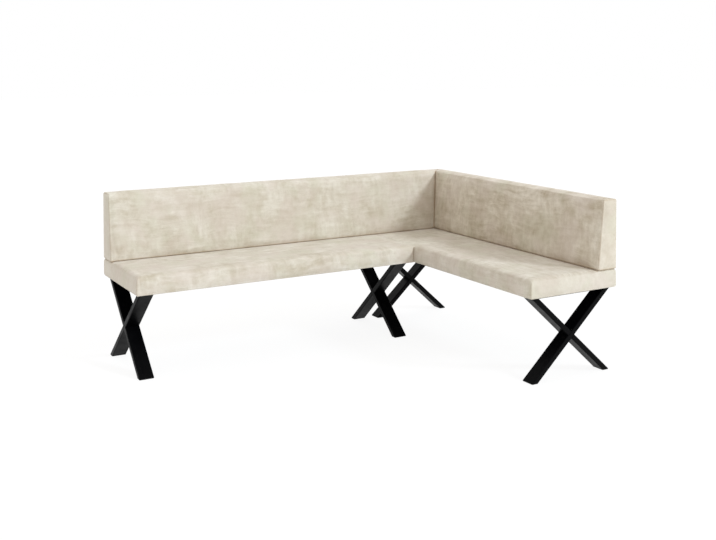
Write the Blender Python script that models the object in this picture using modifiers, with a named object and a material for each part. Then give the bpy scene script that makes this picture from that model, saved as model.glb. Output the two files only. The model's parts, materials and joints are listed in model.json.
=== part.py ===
"""Corner bench: two upholstered seats and two wedge-shaped backs on four crossed steel legs.

Units are metres and +Z is up. The origin is on the floor, below the middle of the bench's outer box.
The long side runs along X with its back at +Y. The wing runs along Y with its back at +X.
Each side is modelled in its own coordinates, which start at the outer rear corner of the bench:
U runs along the side, V runs out from the wall, and Z is up.
"""

import math
from collections import namedtuple

import bmesh
import bpy
from mathutils import Vector

# Outer sizes
LONG_SIDE = 2.000
SHORT_SIDE = 1.450
SEAT_DEPTH = 0.515
SEAT_UNDERSIDE = 0.390
SEAT_TOP = 0.475
BACK_TOP = 0.802
BACK_FOOT_DEPTH = 0.116
BACK_HEAD_DEPTH = 0.085

# Clearances between neighbours
CLEARANCE = 0.0003
SOFT_CLEARANCE = 0.0010
SEAT_SEAM = 0.0008
MITRE_SEAM = 0.0010

# Upholstery
COVER_THICKNESS = 0.0015
SEAT_HEM = 0.030
BACK_HEM = 0.018
SEAT_EDGE_ROUND = 0.013
BACK_EDGE_ROUND = 0.010
BOTTOM_ROUND_SHARE = 0.35
ROUND_SEGMENTS = 3
SEAT_CROWN = 0.006
BACK_CROWN = 0.005
CROWN_POWER = 3
SIDE_SWELL = 0.003
SEAT_SPANS_ALONG = 5
SEAT_SPANS_ACROSS = 3
BACK_SPANS_ALONG = 5
BACK_SPANS_UP = 3
BACK_SPANS_FROM_CORNER = 0.020
DUST_COVER_THICKNESS = 0.001
DUST_COVER_INSET = 0.010

# Timber inside the upholstery
BOARD_THICKNESS = 0.018
RAIL_SETBACK = 0.014
RAIL_WIDTH = 0.080
RAIL_FOAM_ABOVE = 0.008
PANEL_SETBACK = 0.006
PANEL_THICKNESS = 0.012
PANEL_END_FOAM = 0.014
PANEL_TOP_FOAM = 0.015
BACK_BASE_HEIGHT = 0.040
BACK_BASE_FRONT_FOAM = 0.018

# Crossed legs
LEG_SPREAD = 0.460
BAR_WIDTH = 0.070
BAR_THICKNESS = 0.025
BAR_WALL = 0.002
BAR_CORNER = 0.004
BORE_CORNER_LEAST = 0.001
CORNER_SEGMENTS = 3
PLATE_THICKNESS = 0.005
PLATE_CORNER = 0.004
GLIDE_HEIGHT = 0.003
GLIDE_SETBACK = 0.001
GLIDE_PLUG_HEIGHT = 0.014
LONG_END_LEG_INSET = 0.020
LONG_INNER_LEG_INSET = 0.030
CORNER_LEG_INSET = 0.035
WING_END_LEG_INSET = 0.020

# Wood screws in the leg plates and in the joining plates
SCREW_RADIUS = 0.0024
SCREW_LENGTH = 0.018
SCREW_HEAD_RADIUS = 0.0050
SCREW_HEAD_HEIGHT = 0.0028
LEG_SCREW_TO_BAR = 0.045
JOINING_PLATE_WIDTH = 0.052
JOINING_PLATE_LENGTH = 0.240
JOINING_PLATE_THICKNESS = 0.004
JOINING_SCREW_FROM_SEAM = 0.016
JOINING_SCREW_FROM_MIDDLE = 0.080

# Bolts that hold the backs down on the seats
BOLT_RADIUS = 0.004
BOLT_HEAD_RADIUS = 0.011
BOLT_HEAD_HEIGHT = 0.0045
BOLT_FROM_WALL = 0.055
BOLT_TO_LEG = 0.085
BOLT_IN_BASE = 0.024
LONG_BOLT_COUNT = 3
WING_BOLT_COUNT = 2
BOLT_SIDES = 12
SCREW_SIDES = 8
HEAD_FLAT_SHARE = 0.62
HEAD_RIM_SHARE = 0.45

# How meshes are finished
SOFT_SHARP_ANGLE = math.radians(60)
HARD_SHARP_ANGLE = math.radians(40)
MERGE_DISTANCE = 0.00001

# Heights that follow from the sizes above
DUST_COVER_TOP = SEAT_UNDERSIDE - CLEARANCE
DUST_COVER_BOTTOM = DUST_COVER_TOP - DUST_COVER_THICKNESS
PLATE_TOP = DUST_COVER_BOTTOM - CLEARANCE
PLATE_BOTTOM = PLATE_TOP - PLATE_THICKNESS
BAR_TOP = PLATE_BOTTOM - CLEARANCE
BAR_BOTTOM = GLIDE_HEIGHT + CLEARANCE
FOAM_INSET = COVER_THICKNESS + SOFT_CLEARANCE
BOARD_BOTTOM = SEAT_UNDERSIDE + FOAM_INSET
BOARD_TOP = BOARD_BOTTOM + BOARD_THICKNESS
RAIL_BOTTOM = BOARD_TOP + CLEARANCE
RAIL_TOP = SEAT_TOP - FOAM_INSET - RAIL_FOAM_ABOVE
BACK_BOTTOM = SEAT_TOP + CLEARANCE
BACK_BASE_BOTTOM = BACK_BOTTOM + FOAM_INSET
BACK_BASE_TOP = BACK_BASE_BOTTOM + BACK_BASE_HEIGHT

# Slope of the crossed bars: the horizontal cut through a bar follows from its thickness and its lean
BAR_RISE = BAR_TOP - BAR_BOTTOM


def horizontal_cut(thickness, rise, spread):
    """Width of a leaning bar's level cut, for two bars that cross inside the spread."""
    square = thickness * thickness
    level = rise * rise - square
    root = math.sqrt(spread * spread * square + level * (rise * rise + spread * spread))
    return (thickness * root - spread * square) / level


BAR_CUT = horizontal_cut(BAR_THICKNESS, BAR_RISE, LEG_SPREAD)
BAR_RUN = LEG_SPREAD - BAR_CUT
BAR_STRETCH = BAR_CUT / BAR_THICKNESS

# Where the outer rear corner of the bench stands
CORNER = Vector((LONG_SIDE / 2, SHORT_SIDE / 2, 0))

Side = namedtuple("Side", "name hand turn length seat_from seat_depth legs bolt_count")
Leg = namedtuple("Leg", "name middle")

LONG = Side(
    name="long",
    hand=1,
    turn=math.pi,
    length=LONG_SIDE,
    seat_from=SEAT_DEPTH + SEAT_SEAM / 2,
    seat_depth=SEAT_DEPTH,
    legs=(
        Leg("long_inner_leg", SEAT_DEPTH + LONG_INNER_LEG_INSET + BAR_WIDTH / 2),
        Leg("long_end_leg", LONG_SIDE - LONG_END_LEG_INSET - BAR_WIDTH / 2),
    ),
    bolt_count=LONG_BOLT_COUNT,
)
WING = Side(
    name="wing",
    hand=-1,
    turn=math.pi / 2,
    length=SHORT_SIDE,
    seat_from=0.0,
    seat_depth=SEAT_DEPTH - SEAT_SEAM / 2,
    legs=(
        Leg("corner_leg", CORNER_LEG_INSET + BAR_WIDTH / 2),
        Leg("wing_end_leg", SHORT_SIDE - WING_END_LEG_INSET - BAR_WIDTH / 2),
    ),
    bolt_count=WING_BOLT_COUNT,
)


def clear_scene():
    for obj in list(bpy.data.objects):
        bpy.data.objects.remove(obj, do_unlink=True)


def new_collection(name):
    collection = bpy.data.collections.new(name)
    bpy.context.scene.collection.children.link(collection)
    return collection


def colour(red, green, blue):
    """A linear colour from 8-bit display values."""
    channels = [value / 255 for value in (red, green, blue)]
    linear = [c / 12.92 if c <= 0.04045 else ((c + 0.055) / 1.055) ** 2.4 for c in channels]
    return (*linear, 1.0)


def material(name, rgb, roughness, metallic=0.0):
    made = bpy.data.materials.new(name)
    made.use_nodes = True
    shader = made.node_tree.nodes["Principled BSDF"]
    shader.inputs["Base Color"].default_value = colour(*rgb)
    shader.inputs["Roughness"].default_value = roughness
    shader.inputs["Metallic"].default_value = metallic
    return made


class Workshop:
    """Holds the collections, the finishes and the two empties that the sides hang on."""

    def __init__(self):
        self.parts = new_collection("corner_bench")
        self.cutters = new_collection("cutters")
        self.finishes = {
            "velvet": material("velvet", (214, 206, 190), 0.85),
            "foam": material("foam", (226, 214, 170), 0.95),
            "plywood": material("plywood", (196, 160, 112), 0.60),
            "softwood": material("softwood", (212, 180, 128), 0.65),
            "dust_cloth": material("dust_cloth", (38, 38, 40), 0.95),
            "black_steel": material("black_steel", (24, 24, 26), 0.45, 0.2),
            "black_plastic": material("black_plastic", (20, 20, 21), 0.55),
            "zinc_steel": material("zinc_steel", (176, 178, 182), 0.35, 1.0),
        }
        self.anchors = {side.name: self.anchor(side) for side in (LONG, WING)}

    def anchor(self, side):
        empty = bpy.data.objects.new(side.name + "_side", None)
        empty.location = CORNER
        empty.rotation_euler.z = side.turn
        self.parts.objects.link(empty)
        return empty

    def part(self, name, mesh, finish, side, location=(0, 0, 0)):
        obj = bpy.data.objects.new(name, mesh)
        obj.parent = self.anchors[side.name]
        obj.location = location
        obj.data.materials.clear()
        obj.data.materials.append(self.finishes[finish])
        self.parts.objects.link(obj)
        return obj

    def cutter(self, name, mesh, side, location=(0, 0, 0)):
        obj = bpy.data.objects.new(name, mesh)
        obj.parent = self.anchors[side.name]
        obj.location = location
        obj.hide_render = True
        obj.display_type = "WIRE"
        self.cutters.objects.link(obj)
        return obj


def finished_mesh(bm, name, side=None, sharp_angle=None):
    """Turns side coordinates into a mesh, mirrored for the wing, with its faces pointing out."""
    if side is not None and side.hand < 0:
        bmesh.ops.scale(bm, vec=(-1, 1, 1), verts=bm.verts)
    bmesh.ops.recalc_face_normals(bm, faces=bm.faces)
    mesh = bpy.data.meshes.new(name)
    bm.to_mesh(mesh)
    bm.free()
    if sharp_angle is not None:
        mesh.shade_smooth()
        mesh.set_sharp_from_angle(angle=sharp_angle)
    return mesh


def add_box(bm, low, high):
    low, high = Vector(low), Vector(high)
    made = bmesh.ops.create_cube(bm, size=1.0)["verts"]
    bmesh.ops.scale(bm, vec=high - low, verts=made)
    bmesh.ops.translate(bm, vec=(low + high) / 2, verts=made)
    return made


def cut_lines(bm, axis, places):
    """Adds loops of edges square to an axis, where a form has to bend."""
    normal = Vector((0, 0, 0))
    normal[axis] = 1
    for place in places:
        everything = bm.verts[:] + bm.edges[:] + bm.faces[:]
        bmesh.ops.bisect_plane(bm, geom=everything, plane_co=normal * place, plane_no=normal)


def evenly(start, end, spans):
    return [start + (end - start) * step / spans for step in range(spans + 1)]


def dome(share):
    """Height of stretched upholstery across its width: none at both edges, and flat in the middle."""
    return 1 - abs(2 * share - 1) ** CROWN_POWER if 0 < share < 1 else 0.0


def weigh_edges(bm, bottom_share, top_share=1.0):
    """Marks how much of the full radius each sharp edge gets. Upright edges get all of it."""
    layer = bm.edges.layers.float.new("bevel_weight_edge")
    heights = [vert.co.z for vert in bm.verts]
    middle = (min(heights) + max(heights)) / 2
    for edge in bm.edges:
        if len(edge.link_faces) < 2 or edge.calc_face_angle() < HARD_SHARP_ANGLE:
            continue
        first, second = (vert.co.z for vert in edge.verts)
        if abs(first - second) > edge.calc_length() / 2:
            edge[layer] = 1.0
        elif (first + second) / 2 > middle:
            edge[layer] = top_share
        else:
            edge[layer] = bottom_share


def add_rounding(obj, radius):
    bevel = obj.modifiers.new("rounding", "BEVEL")
    bevel.width = radius
    bevel.segments = ROUND_SEGMENTS
    bevel.limit_method = "WEIGHT"


def add_shell(obj, thickness):
    shell = obj.modifiers.new("cloth", "SOLIDIFY")
    shell.thickness = thickness
    shell.offset = -1
    shell.use_even_offset = True


def add_cut(obj, cutter):
    cut = obj.modifiers.new(cutter.name, "BOOLEAN")
    cut.object = cutter
    cut.operation = "DIFFERENCE"
    cut.solver = "EXACT"


def open_bottom(bm, low, high, hem):
    """Removes the underside of a cover inside its hem."""
    inner = []
    for face in bm.faces:
        middle = face.calc_center_median()
        level = max(abs(vert.co.z - low.z) for vert in face.verts)
        inside_u = low.x + hem < middle.x < high.x - hem
        inside_v = low.y + hem < middle.y < high.y - hem
        if level < CLEARANCE and inside_u and inside_v:
            inner.append(face)
    bmesh.ops.delete(bm, geom=inner, context="FACES")


# Seats


def seat_crown(side, u, v):
    """Rise of the seat's top above its edges. It is flat where a back stands on it."""
    start = side.seat_from if side is LONG else BACK_FOOT_DEPTH
    along = (u - start) / (side.length - start)
    across = (v - BACK_FOOT_DEPTH) / (side.seat_depth - BACK_FOOT_DEPTH)
    return SEAT_CROWN * dome(along) * dome(across)


def seat_form(side, inset, bottom):
    """The seat's outer form, or the same form drawn in by an inset: crowned, with swollen sides."""
    low = Vector((side.seat_from + inset, inset, bottom))
    high = Vector((side.length - inset, side.seat_depth - inset, SEAT_TOP - inset))
    bm = bmesh.new()
    add_box(bm, low, high)
    hem_from, hem_to = side.seat_from + SEAT_HEM, side.length - SEAT_HEM
    if side is WING:
        cut_lines(bm, 0, [hem_from] + evenly(BACK_FOOT_DEPTH, hem_to, SEAT_SPANS_ALONG))
    else:
        cut_lines(bm, 0, evenly(hem_from, hem_to, SEAT_SPANS_ALONG))
    cut_lines(bm, 1, [SEAT_HEM] + evenly(BACK_FOOT_DEPTH, side.seat_depth - SEAT_HEM, SEAT_SPANS_ACROSS))
    middle = (SEAT_UNDERSIDE + SEAT_TOP) / 2
    cut_lines(bm, 2, [middle])
    for vert in bm.verts:
        u, v, z = vert.co
        if z > high.z - CLEARANCE:
            vert.co.z += seat_crown(side, u, v)
        if abs(z - middle) > CLEARANCE:
            vert.co.x += SIDE_SWELL * ((u < low.x + CLEARANCE) - (u > high.x - CLEARANCE))
            vert.co.y += SIDE_SWELL * ((v < low.y + CLEARANCE) - (v > high.y - CLEARANCE))
    return bm, low, high


def seat_cover(shop, side):
    bm, low, high = seat_form(side, 0.0, SEAT_UNDERSIDE)
    open_bottom(bm, low, high, SEAT_HEM)
    weigh_edges(bm, BOTTOM_ROUND_SHARE)
    name = side.name + "_seat_cover"
    cover = shop.part(name, finished_mesh(bm, name, side, SOFT_SHARP_ANGLE), "velvet", side)
    add_rounding(cover, SEAT_EDGE_ROUND)
    add_shell(cover, COVER_THICKNESS)
    return cover


def seat_foam(shop, side):
    bm, _, _ = seat_form(side, FOAM_INSET, BOARD_TOP + CLEARANCE)
    weigh_edges(bm, 0.0)
    name = side.name + "_seat_foam"
    foam = shop.part(name, finished_mesh(bm, name, side, SOFT_SHARP_ANGLE), "foam", side)
    add_rounding(foam, SEAT_EDGE_ROUND - FOAM_INSET)
    return foam


def seat_board(shop, side):
    """Plywood deck that the cover is stapled to. Its corners follow the cover's."""
    inset = SIDE_SWELL + FOAM_INSET
    low = (side.seat_from + inset, inset, BOARD_BOTTOM)
    high = (side.length - inset, side.seat_depth - inset, BOARD_TOP)
    bm = bmesh.new()
    add_box(bm, low, high)
    weigh_edges(bm, BOTTOM_ROUND_SHARE, top_share=0.0)
    name = side.name + "_seat_board"
    board = shop.part(name, finished_mesh(bm, name, side), "plywood", side)
    add_rounding(board, SEAT_EDGE_ROUND - FOAM_INSET)
    return board


def dust_cover(shop, side):
    low = (side.seat_from + DUST_COVER_INSET, DUST_COVER_INSET, DUST_COVER_BOTTOM)
    high = (side.length - DUST_COVER_INSET, side.seat_depth - DUST_COVER_INSET, DUST_COVER_TOP)
    bm = bmesh.new()
    add_box(bm, low, high)
    name = side.name + "_seat_dust_cover"
    return shop.part(name, finished_mesh(bm, name, side), "dust_cloth", side)


def rail_boxes(side):
    """Corners of the timber rails that carry the backs, named by piece."""
    end = side.length - RAIL_SETBACK
    wall = (RAIL_SETBACK, RAIL_SETBACK + RAIL_WIDTH)
    start = side.seat_from + RAIL_SETBACK
    boxes = {"rail": ((start, wall[0], RAIL_BOTTOM), (end, wall[1], RAIL_TOP))}
    if side is WING:
        low = (wall[0], wall[1] + CLEARANCE, RAIL_BOTTOM)
        high = (wall[1], side.seat_depth - RAIL_SETBACK, RAIL_TOP)
        boxes["end_rail"] = (low, high)
    return boxes


def seat_rails(shop, side):
    """The rails and the pockets that they need in the foam."""
    rails = []
    pockets = []
    room = Vector((CLEARANCE, CLEARANCE, CLEARANCE))
    for piece, (low, high) in rail_boxes(side).items():
        name = f"{side.name}_seat_{piece}"
        bm = bmesh.new()
        add_box(bm, low, high)
        rails.append(shop.part(name, finished_mesh(bm, name, side), "softwood", side))
        bm = bmesh.new()
        add_box(bm, Vector(low) - room - Vector((0, 0, BOARD_THICKNESS)), Vector(high) + room)
        pockets.append(shop.cutter("cut_" + name, finished_mesh(bm, "cut_" + name, side), side))
    return rails, pockets


# Backs


def back_depth(z):
    """Thickness of a back at a height: it tapers from foot to head."""
    share = (z - BACK_BOTTOM) / (BACK_TOP - BACK_BOTTOM)
    return BACK_FOOT_DEPTH + (BACK_HEAD_DEPTH - BACK_FOOT_DEPTH) * share


def mitre(bm, start, offset):
    """Slants the end at the bench's corner to 45 degrees, an offset away from the mitre plane."""
    for vert in bm.verts:
        if abs(vert.co.x - start) < CLEARANCE:
            vert.co.x = vert.co.y + offset * math.sqrt(2)


def back_form(side, inset, bottom):
    """The back's outer form, or the same form drawn in by an inset: a mitred wedge with a crowned front."""
    low = Vector((0.0, inset, bottom))
    high = Vector((side.length - inset, BACK_FOOT_DEPTH - inset, BACK_TOP - inset))
    bm = bmesh.new()
    add_box(bm, low, high)
    first_u = BACK_FOOT_DEPTH + BACK_SPANS_FROM_CORNER
    cut_lines(bm, 0, evenly(first_u, side.length - BACK_HEM, BACK_SPANS_ALONG))
    cut_lines(bm, 1, [BACK_HEM, BACK_FOOT_DEPTH - BACK_HEM])
    cut_lines(bm, 2, evenly(BACK_BOTTOM, BACK_TOP, BACK_SPANS_UP)[1:-1])
    for vert in bm.verts:
        u, v, z = vert.co
        taper = (back_depth(z) - 2 * inset) / (high.y - low.y)
        vert.co.y = inset + (v - inset) * taper
        if v > high.y - CLEARANCE:
            along = (u - BACK_FOOT_DEPTH) / (side.length - BACK_FOOT_DEPTH)
            vert.co.y += BACK_CROWN * dome(along) * dome((z - BACK_BOTTOM) / (BACK_TOP - BACK_BOTTOM))
    mitre(bm, 0.0, MITRE_SEAM / 2 + inset)
    return bm


def open_back_bottom(bm, side):
    """Removes the underside of a back's cover inside its hem, which follows the mitre."""
    inner = []
    for face in bm.faces:
        middle = face.calc_center_median()
        level = max(vert.co.z for vert in face.verts)
        inside_u = middle.x < side.length - BACK_HEM and min(v.co.x for v in face.verts) > BACK_FOOT_DEPTH
        inside_v = BACK_HEM < middle.y < BACK_FOOT_DEPTH - BACK_HEM
        if level < BACK_BOTTOM + CLEARANCE and inside_u and inside_v:
            inner.append(face)
    bmesh.ops.delete(bm, geom=inner, context="FACES")


def back_cover(shop, side):
    bm = back_form(side, 0.0, BACK_BOTTOM)
    open_back_bottom(bm, side)
    weigh_edges(bm, BOTTOM_ROUND_SHARE)
    name = side.name + "_back_cover"
    cover = shop.part(name, finished_mesh(bm, name, side, SOFT_SHARP_ANGLE), "velvet", side)
    add_rounding(cover, BACK_EDGE_ROUND)
    add_shell(cover, COVER_THICKNESS)
    return cover


def back_foam(shop, side):
    bm = back_form(side, FOAM_INSET, BACK_BASE_BOTTOM)
    weigh_edges(bm, BOTTOM_ROUND_SHARE)
    name = side.name + "_back_foam"
    foam = shop.part(name, finished_mesh(bm, name, side, SOFT_SHARP_ANGLE), "foam", side)
    add_rounding(foam, BACK_EDGE_ROUND - FOAM_INSET)
    return foam


def back_timber_boxes(side):
    """Corners of the upright panel and of the base rail inside a back."""
    end = side.length - PANEL_END_FOAM
    panel_front = PANEL_SETBACK + PANEL_THICKNESS
    panel = ((0.0, PANEL_SETBACK, BACK_BASE_BOTTOM), (end, panel_front, BACK_TOP - PANEL_TOP_FOAM))
    base_front = back_depth(BACK_BASE_TOP) - BACK_BASE_FRONT_FOAM
    base = ((0.0, panel_front + CLEARANCE, BACK_BASE_BOTTOM), (end, base_front, BACK_BASE_TOP))
    return {"panel": panel, "base": base}


def back_timber(shop, side):
    """The panel, the base rail and the pockets that they need in the foam."""
    pieces = {}
    pockets = []
    room = Vector((0, CLEARANCE, CLEARANCE))
    for piece, (low, high) in back_timber_boxes(side).items():
        name = f"{side.name}_back_{piece}"
        finish = "plywood" if piece == "panel" else "softwood"
        bm = bmesh.new()
        add_box(bm, low, high)
        mitre(bm, low[0], PANEL_END_FOAM)
        pieces[piece] = shop.part(name, finished_mesh(bm, name, side), finish, side)
        bm = bmesh.new()
        end_room = Vector((CLEARANCE, 0, 0))
        add_box(bm, Vector(low) - room - Vector((0, 0, FOAM_INSET)), Vector(high) + room + end_room)
        mitre(bm, low[0], PANEL_END_FOAM - CLEARANCE)
        pockets.append(shop.cutter("cut_" + name, finished_mesh(bm, "cut_" + name, side), side))
    return pieces, pockets


# Turned fasteners


def add_turned(bm, profile, place, sides):
    """Spins a profile of (radius, height) points round an upright line through a place."""
    u, v = place
    verts = [bm.verts.new((u + radius, v, height)) for radius, height in profile]
    edges = [bm.edges.new(pair) for pair in zip(verts, verts[1:] + verts[:1]) if profile_edge(pair, u)]
    bmesh.ops.spin(
        bm,
        geom=verts + edges,
        cent=(u, v, 0),
        axis=(0, 0, 1),
        angle=2 * math.pi,
        steps=sides,
        use_merge=True,
    )


def profile_edge(pair, axis_u):
    """False for the edge that would run along the axis itself."""
    return max(abs(vert.co.x - axis_u) for vert in pair) > CLEARANCE


def turned_mesh(name, profile, places, sides, side=None):
    bm = bmesh.new()
    for place in places:
        add_turned(bm, profile, place, sides)
    bmesh.ops.remove_doubles(bm, verts=bm.verts, dist=MERGE_DISTANCE)
    return finished_mesh(bm, name, side, HARD_SHARP_ANGLE)


def pin_profile(head_radius, head_height, radius, bottom, tip):
    """A fastener seen from its side: a domed head below, and a plain shank up to its tip."""
    seat = bottom + head_height
    return [
        (0.0, bottom),
        (head_radius * HEAD_FLAT_SHARE, bottom),
        (head_radius, bottom + head_height * HEAD_RIM_SHARE),
        (head_radius, seat),
        (radius, seat),
        (radius, tip - radius),
        (0.0, tip),
    ]


def hole_profile(radius, bottom, top):
    return [(0.0, bottom), (radius, bottom), (radius, top), (0.0, top)]


def bolt_places(side):
    """Bolts stand in one row under a back, between the two legs of their side."""
    near, far = (leg.middle for leg in side.legs)
    reach = BAR_WIDTH / 2 + BOLT_TO_LEG
    start, end = near + reach, far - reach
    return [(u, BOLT_FROM_WALL) for u in evenly(start, end, side.bolt_count - 1)]


def back_bolts(shop, side):
    """The bolts that come up through the seat into the back's base, and the cutter for their holes."""
    head_top = DUST_COVER_BOTTOM - CLEARANCE
    tip = BACK_BASE_BOTTOM + BOLT_IN_BASE
    profile = pin_profile(BOLT_HEAD_RADIUS, BOLT_HEAD_HEIGHT, BOLT_RADIUS, head_top - BOLT_HEAD_HEIGHT, tip)
    places = bolt_places(side)
    for number, (u, v) in enumerate(places, 1):
        name = f"{side.name}_back_bolt_{number}"
        bolt = turned_mesh(name, profile, [(0, 0)], BOLT_SIDES)
        shop.part(name, bolt, "zinc_steel", side, (side.hand * u, v, 0))
    name = f"cut_{side.name}_back_bolts"
    hole = hole_profile(BOLT_RADIUS + CLEARANCE, head_top, tip + CLEARANCE)
    return shop.cutter(name, turned_mesh(name, hole, places, BOLT_SIDES, side), side)


# Legs


def rounded_outline(width, depth, round_x, round_y):
    """Points of a rectangle round the origin with rounded corners."""
    points = []
    for quarter, (side_x, side_y) in enumerate(((1, 1), (-1, 1), (-1, -1), (1, -1))):
        for step in range(CORNER_SEGMENTS + 1):
            angle = math.pi / 2 * (quarter + step / CORNER_SEGMENTS)
            x = side_x * (width / 2 - round_x) + round_x * math.cos(angle)
            y = side_y * (depth / 2 - round_y) + round_y * math.sin(angle)
            points.append((x, y))
    return points


def add_loop(bm, outline, offset_y, height):
    """A closed loop of edges from an outline, at a height."""
    verts = [bm.verts.new((x, y + offset_y, height)) for x, y in outline]
    return [bm.edges.new(pair) for pair in zip(verts, verts[1:] + verts[:1])]


def bar_outline(drawn_in):
    """Level section of a leaning bar, or of its bore when drawn in by the wall."""
    width = BAR_WIDTH - 2 * drawn_in
    depth = BAR_CUT - 2 * drawn_in * BAR_STRETCH
    radius = max(BAR_CORNER - drawn_in, BORE_CORNER_LEAST)
    return rounded_outline(width, depth, radius, radius * BAR_STRETCH)


def leaning_bar(lean):
    """A rectangular tube from the floor to the plate, cut level at both ends."""
    bm = bmesh.new()
    foot = lean * BAR_RUN / 2
    outside = add_loop(bm, bar_outline(0.0), foot, BAR_BOTTOM)
    inside = add_loop(bm, bar_outline(BAR_WALL), foot, BAR_BOTTOM)
    bmesh.ops.bridge_loops(bm, edges=outside + inside)
    raised = bmesh.ops.extrude_face_region(bm, geom=bm.faces[:])["geom"]
    top = [item for item in raised if isinstance(item, bmesh.types.BMVert)]
    bmesh.ops.translate(bm, vec=(0, -lean * BAR_RUN, BAR_RISE), verts=top)
    return bm


def cut_at_crossing(bm, keep_above):
    """Cuts a bar where it meets the one that crosses it, and closes the end of its wall."""
    along = Vector((0, -BAR_RUN, BAR_RISE)).normalized()
    normal = Vector((0, along.z, -along.y))
    if keep_above:
        normal = -normal
    middle = Vector((0, 0, (BAR_BOTTOM + BAR_TOP) / 2))
    place = middle - normal * (BAR_THICKNESS / 2 + CLEARANCE)
    everything = bm.verts[:] + bm.edges[:] + bm.faces[:]
    bmesh.ops.bisect_plane(bm, geom=everything, plane_co=place, plane_no=normal, clear_outer=True)
    rim = [edge for edge in bm.edges if edge.is_boundary]
    bmesh.ops.bridge_loops(bm, edges=rim)


def leg_screw_places():
    reach = LEG_SPREAD / 2 - BAR_CUT - LEG_SCREW_TO_BAR
    return [(0, -reach), (0, reach)]


def screw_profile(plate_bottom, plate_thickness):
    bottom = plate_bottom - CLEARANCE - SCREW_HEAD_HEIGHT
    tip = plate_bottom + plate_thickness + SCREW_LENGTH
    return pin_profile(SCREW_HEAD_RADIUS, SCREW_HEAD_HEIGHT, SCREW_RADIUS, bottom, tip)


def screw_hole_profile(plate_bottom, plate_thickness):
    tip = plate_bottom + plate_thickness + SCREW_LENGTH
    return hole_profile(SCREW_RADIUS + CLEARANCE, plate_bottom - CLEARANCE, tip + CLEARANCE)


def plate_mesh():
    bm = bmesh.new()
    outline = rounded_outline(BAR_WIDTH, LEG_SPREAD, PLATE_CORNER, PLATE_CORNER)
    bm.faces.new([bm.verts.new((x, y, PLATE_BOTTOM)) for x, y in outline])
    raised = bmesh.ops.extrude_face_region(bm, geom=bm.faces[:])["geom"]
    top = [item for item in raised if isinstance(item, bmesh.types.BMVert)]
    bmesh.ops.translate(bm, vec=(0, 0, PLATE_THICKNESS), verts=top)
    return finished_mesh(bm, "leg_plate")


def raise_face(bm, face, rise, slide=0.0, spread=(1.0, 1.0)):
    """Extrudes a level face upwards. Its copy slides along Y and spreads about its own middle.
    The first face stays only where it closes the underside."""
    made = bmesh.ops.extrude_face_region(bm, geom=[face])["geom"]
    verts = [item for item in made if isinstance(item, bmesh.types.BMVert)]
    raised = next(item for item in made if isinstance(item, bmesh.types.BMFace))
    middle = raised.calc_center_bounds()
    for vert in verts:
        vert.co.x = middle.x + (vert.co.x - middle.x) * spread[0]
        vert.co.y = middle.y + (vert.co.y - middle.y) * spread[1] + slide
        vert.co.z += rise
    if any(len(edge.link_faces) > 2 for edge in face.edges):
        bm.faces.remove(face)
    return raised


def glide_mesh(lean):
    """A plastic foot: a flat pad on the floor, and a plug that stands in the tube's bore."""
    bm = bmesh.new()
    foot = lean * BAR_RUN / 2
    pad_width = BAR_WIDTH - 2 * GLIDE_SETBACK
    pad_depth = BAR_CUT - 2 * GLIDE_SETBACK * BAR_STRETCH
    plug_inset = BAR_WALL + SOFT_CLEARANCE - GLIDE_SETBACK
    narrowed = (1 - 2 * plug_inset / pad_width, 1 - 2 * plug_inset * BAR_STRETCH / pad_depth)
    base = bm.faces.new([bm.verts.new((x, y + foot, 0.0)) for x, y in bar_outline(GLIDE_SETBACK)])
    pad = raise_face(bm, base, GLIDE_HEIGHT)
    plug = raise_face(bm, pad, 0.0, spread=narrowed)
    raise_face(bm, plug, GLIDE_PLUG_HEIGHT, slide=-lean * GLIDE_PLUG_HEIGHT * BAR_RUN / BAR_RISE)
    return finished_mesh(bm, "leg_glide")


def leg_meshes():
    """Meshes that all four legs share. Their middle is the origin."""
    main = leaning_bar(1)
    upper = leaning_bar(-1)
    cut_at_crossing(upper, keep_above=True)
    lower = leaning_bar(-1)
    cut_at_crossing(lower, keep_above=False)
    return {
        "bar_main": (finished_mesh(main, "bar_main", sharp_angle=HARD_SHARP_ANGLE), "black_steel"),
        "bar_upper": (finished_mesh(upper, "bar_upper", sharp_angle=HARD_SHARP_ANGLE), "black_steel"),
        "bar_lower": (finished_mesh(lower, "bar_lower", sharp_angle=HARD_SHARP_ANGLE), "black_steel"),
        "plate": (plate_mesh(), "black_steel"),
        "glide_front": (glide_mesh(1), "black_plastic"),
        "glide_rear": (glide_mesh(-1), "black_plastic"),
    }


def legs(shop, side, meshes, hole_mesh, screw_mesh):
    """Both legs of a side, and the cutters for their screws."""
    cutters = []
    for leg in side.legs:
        u, v = side.hand * leg.middle, SEAT_DEPTH / 2
        cutter = shop.cutter("cut_" + leg.name + "_screws", hole_mesh, side, (u, v, 0))
        cutters.append(cutter)
        for piece, (mesh, finish) in meshes.items():
            obj = shop.part(f"{leg.name}_{piece}", mesh, finish, side, (u, v, 0))
            if piece == "plate":
                add_cut(obj, cutter)
        for place, (across, along) in zip(("rear", "front"), leg_screw_places()):
            name = f"{leg.name}_screw_{place}"
            shop.part(name, screw_mesh, "zinc_steel", side, (u + across, v + along, 0))
    return cutters


# Plate under the seam between the two seats


def joining_screw_places():
    middle = SEAT_DEPTH / 2
    return [
        (SEAT_DEPTH - JOINING_SCREW_FROM_SEAM, middle - JOINING_SCREW_FROM_MIDDLE),
        (SEAT_DEPTH + JOINING_SCREW_FROM_SEAM, middle + JOINING_SCREW_FROM_MIDDLE),
    ]


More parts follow.
